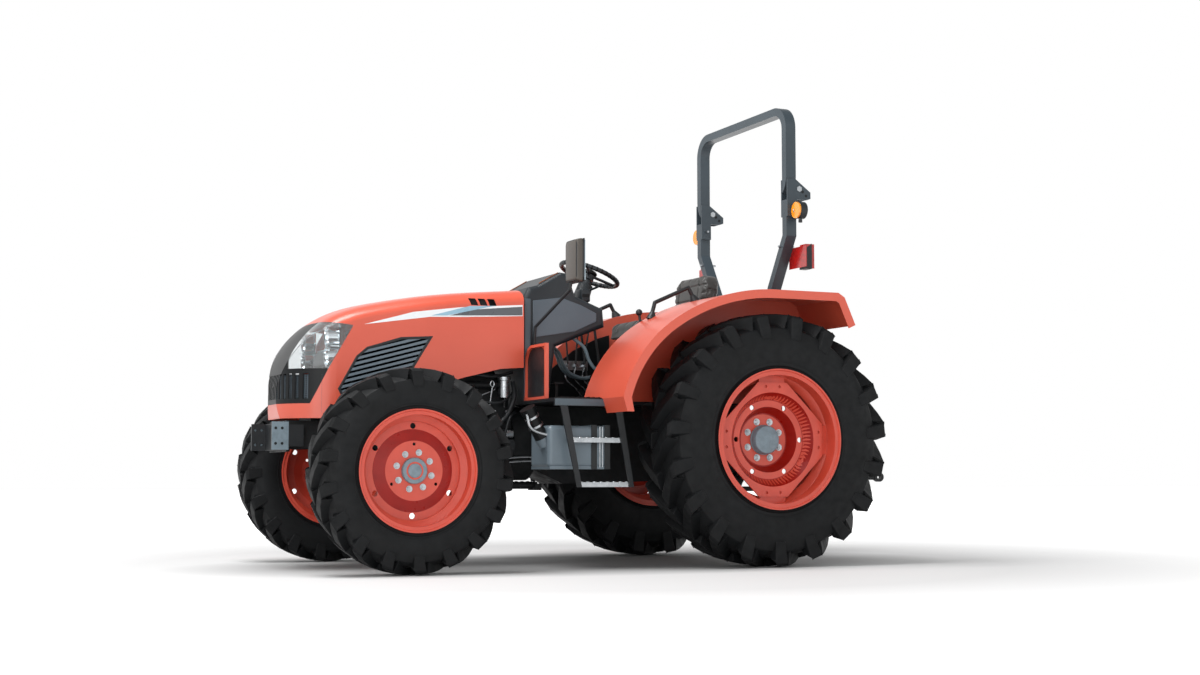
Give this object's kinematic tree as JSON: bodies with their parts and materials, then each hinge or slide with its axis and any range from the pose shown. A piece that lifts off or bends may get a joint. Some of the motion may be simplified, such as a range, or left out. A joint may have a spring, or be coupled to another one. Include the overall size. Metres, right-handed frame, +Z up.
{
  "type": "farm tractor",
  "caption": "Four-wheel-drive farm tractor with a tilting hood, open platform, folding roll bar, steered front wheels and rear three-point linkage.",
  "frame": {"origin": "on the ground under the middle of the machine's length and width", "axes": "+X forward, +Y to the driver's left, +Z up"},
  "size_m": [3.8833, 2.09, 2.82],
  "materials": {
    "red": "glossy orange-red enamel",
    "black_steel": "satin black paint",
    "cast": "dark painted casting",
    "tyre": "black rubber",
    "plastic": "grained dark grey moulding",
    "seat": "black vinyl",
    "glass": "clear lens over reflectors",
    "grille": "black mesh",
    "steel": "bright steel",
    "amber": "amber lens",
    "lamp_red": "red lens"
  },
  "bodies": {
    "chassis": {"air_cleaner": "plastic", "battery": "plastic", "control_levers": "black_steel", "cowl": "plastic", "drawbar": "black_steel", "drive_shaft": "black_steel", "engine": "cast", "fender_handles": "black_steel", "fender_left": "red", "fender_right": "red", "floor_platform": "black_steel", "front_axle": "cast", "front_frame": "cast", "front_shields": "red", "fuel_tanks": "plastic", "hood_hinges": "black_steel", "link_anchors": "black_steel", "mirror": "plastic", "pedals": "black_steel", "pto_guard": "plastic", "pto_shaft": "steel", "radiator": "cast", "rear_axle": "cast", "rops_posts": "black_steel", "seat_back": "seat", "seat_base": "black_steel", "seat_cushion": "seat", "steering_column": "plastic", "steering_cylinder": "black_steel", "steps": "black_steel", "tail_lamps": "lamp_red", "transmission_housing": "cast", "warning_lamps": "amber", "weight_bracket": "cast"},
    "hood": {"hood_shell": "red", "headlights": "glass", "front_grille": "grille", "side_vents": "grille", "nose_panel": "plastic", "lamp_reflectors": "steel"},
    "rops_hoop": {"rops_hoop": "black_steel"},
    "knuckle_left": {"knuckle_left": "cast"},
    "knuckle_right": {"knuckle_right": "cast"},
    "wheel_front_left": {"front_wheel_left": "red", "front_tyre_left": "tyre"},
    "wheel_front_right": {"front_wheel_right": "red", "front_tyre_right": "tyre"},
    "wheel_rear_left": {"rear_wheel_left": "red", "rear_tyre_left": "tyre"},
    "wheel_rear_right": {"rear_wheel_right": "red", "rear_tyre_right": "tyre"},
    "steering_wheel": {"steering_wheel": "plastic"},
    "steering_rod": {"steering_rod": "steel"},
    "lower_links": {"lower_links": "black_steel"},
    "lift_arms": {"lift_arms": "black_steel"},
    "lift_rods": {"lift_rods": "black_steel"}
  },
  "joints": [
    {"name": "hood_tilt", "type": "hinge", "parent": "chassis", "child": "hood", "pos_m": [0.491, 0, 1.595], "axis": [0, -1, 0], "range_deg": [0, 40]},
    {"name": "rops_fold", "type": "hinge", "parent": "chassis", "child": "rops_hoop", "pos_m": [-1.238, 0, 2.292], "axis": [0, -1, 0], "range_deg": [0, 175]},
    {"name": "steer_left", "type": "hinge", "parent": "chassis", "child": "knuckle_left", "pos_m": [1.323, 0.7, 0.5525], "axis": [0, 0, 1], "range_deg": [-45, 45]},
    {"name": "steer_right", "type": "hinge", "parent": "chassis", "child": "knuckle_right", "pos_m": [1.323, -0.7, 0.5525], "axis": [0, 0, 1], "range_deg": [-45, 45]},
    {"name": "steering_wheel_turn", "type": "hinge", "parent": "chassis", "child": "steering_wheel", "pos_m": [-0.09, 0, 1.77], "axis": [-0.357, 0, 0.9341], "range_deg": [-540, 540]},
    {"name": "steering_rod_slide", "type": "slide", "parent": "chassis", "child": "steering_rod", "axis": [0, 1, 0], "range_m": [-0.1218, 0.1218]},
    {"name": "front_left_spin", "type": "hinge", "parent": "knuckle_left", "child": "wheel_front_left", "pos_m": [1.323, 0.831, 0.5525], "axis": [0, 1, 0], "continuous": true},
    {"name": "front_right_spin", "type": "hinge", "parent": "knuckle_right", "child": "wheel_front_right", "pos_m": [1.323, -0.831, 0.5525], "axis": [0, 1, 0], "continuous": true},
    {"name": "rear_left_spin", "type": "hinge", "parent": "chassis", "child": "wheel_rear_left", "pos_m": [-0.84, 0.83, 0.7375], "axis": [0, 1, 0], "continuous": true},
    {"name": "rear_right_spin", "type": "hinge", "parent": "chassis", "child": "wheel_rear_right", "pos_m": [-0.84, -0.83, 0.7375], "axis": [0, 1, 0], "continuous": true},
    {"name": "linkage_lift", "type": "hinge", "parent": "chassis", "child": "lower_links", "pos_m": [-0.99, 0, 0.52], "axis": [0, 1, 0], "range_deg": [-18, 25]},
    {"name": "lift_arm_turn", "type": "hinge", "parent": "chassis", "child": "lift_arms", "pos_m": [-1.02, 0, 1.04], "axis": [0, 1, 0], "range_deg": [-19.8, 27.5]},
    {"name": "lift_rod_swing", "type": "hinge", "parent": "lift_arms", "child": "lift_rods", "pos_m": [-1.32, 0, 1.04], "axis": [0, 1, 0], "range_deg": [-27.5, 19.8]}
  ],
  "couplings": [
    {"joint": "steer_right", "follows": "steer_left", "ratio": 1},
    {"joint": "steering_wheel_turn", "follows": "steer_left", "ratio": 12},
    {"joint": "steering_rod_slide", "follows": "steer_left", "m_per_rad": 0.155},
    {"joint": "lift_arm_turn", "follows": "linkage_lift", "ratio": 1.1},
    {"joint": "lift_rod_swing", "follows": "linkage_lift", "ratio": -1.1}
  ]
}
